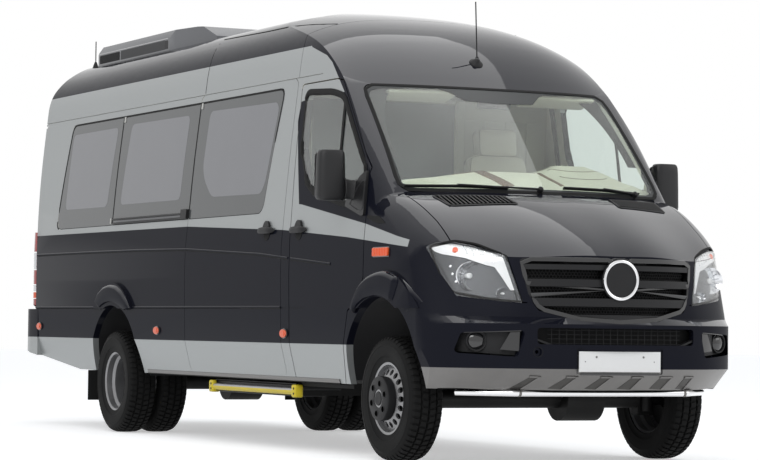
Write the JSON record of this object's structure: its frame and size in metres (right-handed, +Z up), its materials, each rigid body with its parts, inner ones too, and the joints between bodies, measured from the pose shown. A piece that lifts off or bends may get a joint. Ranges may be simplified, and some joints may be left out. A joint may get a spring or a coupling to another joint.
{
  "type": "minibus",
  "caption": "Long high-roof minibus on a raised four-wheel-drive chassis with opening doors, steering front wheels and twin rear wheels.",
  "frame": {"origin": "on the ground, at the middle of the bounding box", "axes": "+Z up, the nose points to -Y, the driver's side is +X"},
  "size_m": [2.43, 7.345, 2.8913],
  "materials": {
    "black_plastic": "grained",
    "chassis_black": "satin black",
    "chrome": "polished",
    "engine_metal": "cast",
    "exhaust_steel": "dull",
    "floor_grey": "matt",
    "glass": "tinted",
    "lamp_clear": "clear",
    "lamp_inner": "bright",
    "lamp_red": "clear red",
    "paint_dark": "metallic clear coat",
    "paint_silver": "metallic clear coat",
    "plate_white": "blank",
    "rim_paint": "silver",
    "rubber": "matt",
    "satin_metal": "satin",
    "seat_fabric": "woven",
    "step_metal": "ribbed",
    "trim_cream": "soft",
    "tyre": "matt"
  },
  "bodies": {
    "body": {"fenders": "paint_dark", "roof_cap": "paint_dark", "roof": "paint_silver", "side_left": "paint_silver", "side_right": "paint_silver", "sliding_door": "paint_silver", "cab_frame": "paint_dark", "windscreen": "glass", "side_glass": "glass", "headlamp_lenses": "lamp_clear", "headlamp_housings": "lamp_inner", "bumper_front": "paint_dark", "skid_plate": "satin_metal", "skid_tube": "chrome", "number_plate": "plate_white", "bumper_rear": "paint_dark", "tail_lamps": "lamp_red", "roof_unit": "paint_silver", "antennas": "black_plastic", "wheel_housings": "black_plastic", "mudflaps": "rubber", "floor": "floor_grey", "dashboard": "trim_cream", "door_seals": "rubber", "front_seats": "seat_fabric", "passenger_seats": "seat_fabric", "chassis_frame": "chassis_black", "bumper_beams": "chassis_black", "engine": "engine_metal", "axle_front": "chassis_black", "axle_rear": "chassis_black", "fuel_tank": "black_plastic", "exhaust": "exhaust_steel", "step_case": "chassis_black"},
    "door_front_right": {"front_door_right": "paint_dark", "door_glass_right": "glass", "mirror_right": "black_plastic"},
    "door_front_left": {"front_door_left": "paint_dark", "door_glass_left": "glass", "mirror_left": "black_plastic"},
    "door_rear_right": {"rear_door_right": "paint_silver", "rear_glass_right": "glass"},
    "door_rear_left": {"rear_door_left": "paint_silver", "rear_glass_left": "glass"},
    "bonnet": {"bonnet": "paint_dark", "grille": "black_plastic"},
    "step": {"step": "step_metal"},
    "steering_wheel": {"steering_wheel": "trim_cream"},
    "knuckle_right": {"knuckle_right": "chassis_black"},
    "knuckle_left": {"knuckle_left": "chassis_black"},
    "wheel_front_right": {"rim_front_right": "rim_paint", "tyre_front_right": "tyre"},
    "wheel_front_left": {"rim_front_left": "rim_paint", "tyre_front_left": "tyre"},
    "wheels_rear_right": {"rims_rear_right": "rim_paint", "tyres_rear_right": "tyre"},
    "wheels_rear_left": {"rims_rear_left": "rim_paint", "tyres_rear_left": "tyre"}
  },
  "joints": [
    {"name": "door_front_right_hinge", "type": "hinge", "parent": "body", "child": "door_front_right", "pos_m": [-1.004, -2.4625, 1], "axis": [0, 0, 1], "range_deg": [0, 70]},
    {"name": "door_front_left_hinge", "type": "hinge", "parent": "body", "child": "door_front_left", "pos_m": [1.004, -2.4625, 1], "axis": [0, 0, -1], "range_deg": [0, 70]},
    {"name": "door_rear_right_hinge", "type": "hinge", "parent": "body", "child": "door_rear_right", "pos_m": [-0.895, 3.5125, 1.5], "axis": [0, 0, 1], "range_deg": [0, 180]},
    {"name": "door_rear_left_hinge", "type": "hinge", "parent": "body", "child": "door_rear_left", "pos_m": [0.895, 3.5125, 1.5], "axis": [0, 0, -1], "range_deg": [0, 180]},
    {"name": "bonnet_hinge", "type": "hinge", "parent": "body", "child": "bonnet", "pos_m": [0, -2.6975, 1.522], "axis": [-1, 0, 0], "range_deg": [0, 50]},
    {"name": "step_slide", "type": "slide", "parent": "body", "child": "step", "axis": [-1, 0, 0], "range_m": [0, 0.26]},
    {"name": "steering_wheel_spin", "type": "hinge", "parent": "body", "child": "steering_wheel", "pos_m": [0.46, -2.0325, 1.45], "axis": [0, 0.8192, 0.5736], "range_deg": [-495, 495]},
    {"name": "steer_right", "type": "hinge", "parent": "body", "child": "knuckle_right", "pos_m": [-0.765, -2.6725, 0.357], "axis": [0, 0, 1], "range_deg": [-33, 33]},
    {"name": "steer_left", "type": "hinge", "parent": "body", "child": "knuckle_left", "pos_m": [0.765, -2.6725, 0.357], "axis": [0, 0, 1], "range_deg": [-33, 33]},
    {"name": "spin_front_right", "type": "hinge", "parent": "knuckle_right", "child": "wheel_front_right", "pos_m": [-0.855, -2.6725, 0.357], "axis": [1, 0, 0], "continuous": true},
    {"name": "spin_front_left", "type": "hinge", "parent": "knuckle_left", "child": "wheel_front_left", "pos_m": [0.855, -2.6725, 0.357], "axis": [1, 0, 0], "continuous": true},
    {"name": "spin_rear_right", "type": "hinge", "parent": "body", "child": "wheels_rear_right", "pos_m": [-0.77, 1.6525, 0.357], "axis": [1, 0, 0], "continuous": true},
    {"name": "spin_rear_left", "type": "hinge", "parent": "body", "child": "wheels_rear_left", "pos_m": [0.77, 1.6525, 0.357], "axis": [1, 0, 0], "continuous": true}
  ],
  "couplings": [
    {"joint": "steer_left", "follows": "steer_right", "ratio": 1},
    {"joint": "steering_wheel_spin", "follows": "steer_right", "ratio": 15}
  ]
}
